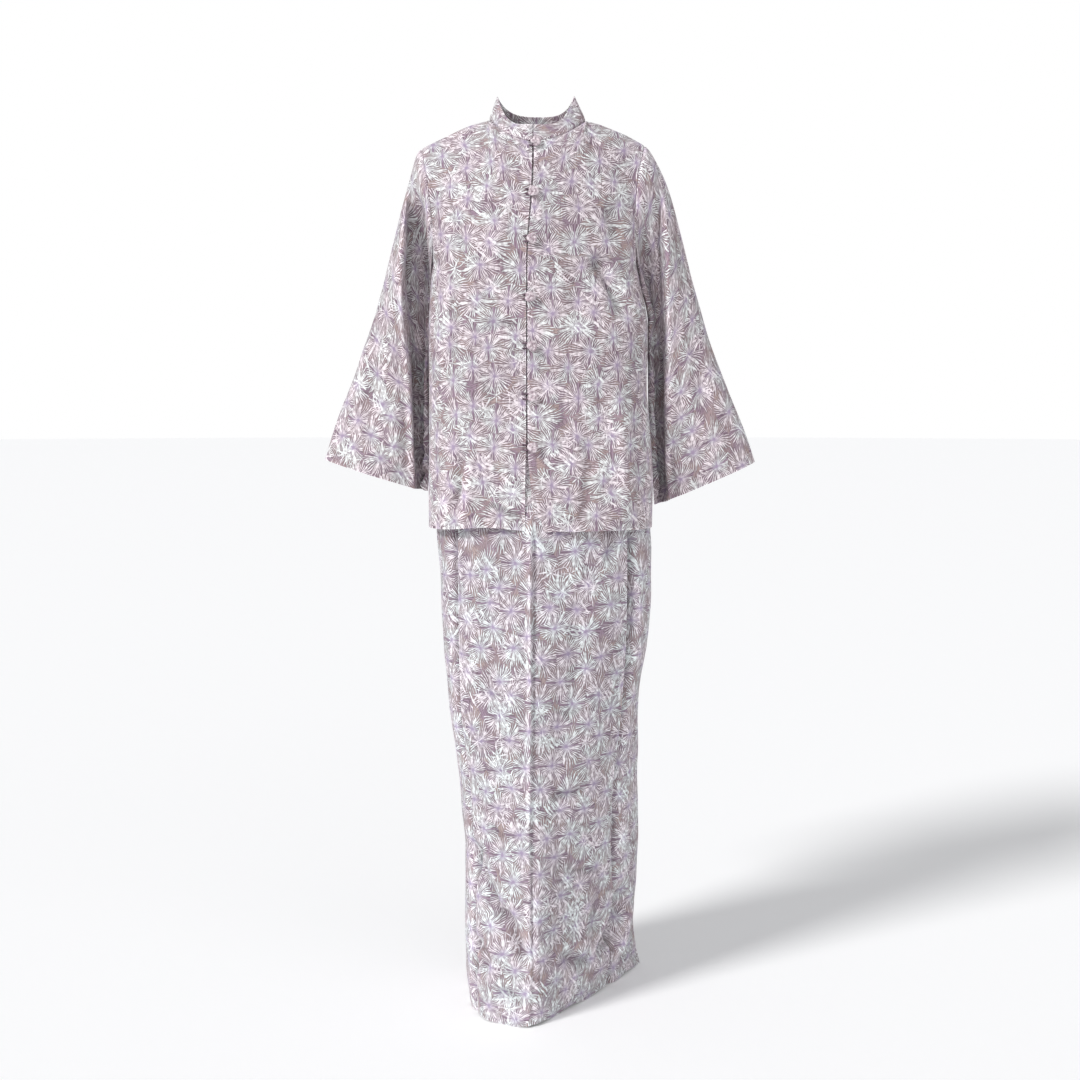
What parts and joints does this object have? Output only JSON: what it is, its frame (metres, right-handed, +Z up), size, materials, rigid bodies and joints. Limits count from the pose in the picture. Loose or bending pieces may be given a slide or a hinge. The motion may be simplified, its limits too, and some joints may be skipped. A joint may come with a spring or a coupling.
{
  "type": "baju kurung",
  "caption": "Long-sleeved hip-length blouse with a stand collar and knotted buttons down the front, over a straight floor-length skirt, standing filled out with no wearer.",
  "frame": {"origin": "middle of the base of the neck, level with the inner ends of the shoulder seams", "axes": "+Z up, -Y the garment's front, +X the wearer's left"},
  "size_m": [0.712, 0.2945, 1.4815],
  "materials": {
    "printed_cloth": "matt woven, dyed",
    "bias_cloth": "matt woven, dyed"
  },
  "bodies": {
    "root": {"blouse_front_right": "printed_cloth", "blouse_front_left": "printed_cloth", "blouse_back": "printed_cloth", "placket": "printed_cloth", "collar": "printed_cloth", "sleeve_right": "printed_cloth", "sleeve_left": "printed_cloth", "skirt_front_panel": "printed_cloth", "skirt_side_left": "printed_cloth", "skirt_side_right": "printed_cloth", "skirt_back": "printed_cloth", "skirt_waistband": "printed_cloth", "button_1": "bias_cloth", "loop_1": "bias_cloth", "button_2": "bias_cloth", "loop_2": "bias_cloth", "button_3": "bias_cloth", "loop_3": "bias_cloth", "button_4": "bias_cloth", "loop_4": "bias_cloth", "button_5": "bias_cloth", "loop_5": "bias_cloth", "button_6": "bias_cloth", "loop_6": "bias_cloth", "button_7": "bias_cloth", "loop_7": "bias_cloth"}
  },
  "joints": []
}
